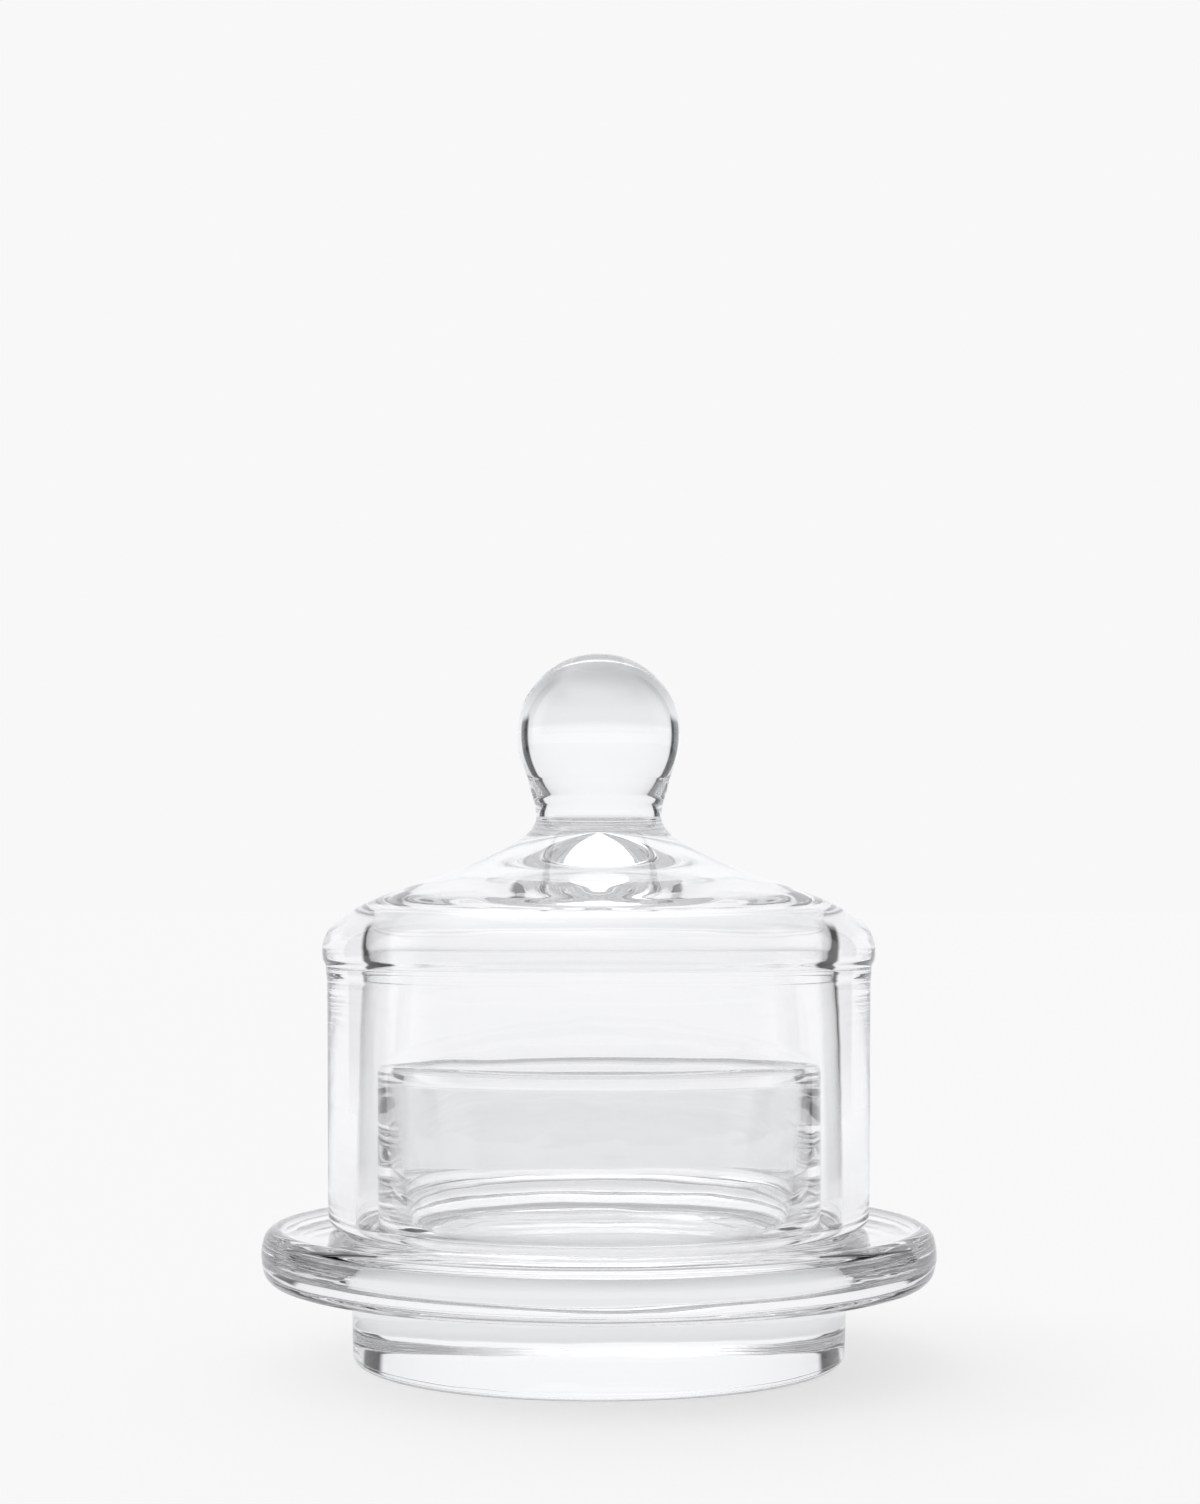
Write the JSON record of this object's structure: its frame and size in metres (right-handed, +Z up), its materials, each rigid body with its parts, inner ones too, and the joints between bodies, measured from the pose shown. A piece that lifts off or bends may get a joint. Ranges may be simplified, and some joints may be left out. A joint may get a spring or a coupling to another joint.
{
  "type": "dappen dish",
  "caption": "Clear glass dish with a flanged rim on a solid foot, and a domed glass lid with a ball knob that lifts off.",
  "frame": {"origin": "centre of the foot's underside, on the table", "axes": "+Z up along the shared axis of the dish and the lid; the object is round, so X and Y are free"},
  "size_m": [0.074, 0.074, 0.0781],
  "materials": {
    "dish_glass": "clear pressed glass, fire polished",
    "lid_glass": "clear pressed glass, fire polished"
  },
  "bodies": {
    "dish": {"dish": "dish_glass"},
    "lid": {"lid": "lid_glass"}
  },
  "joints": [
    {"name": "lid_lift", "type": "slide", "parent": "dish", "child": "lid", "axis": [0, 0, 1], "range_m": [0, 0.045]}
  ]
}
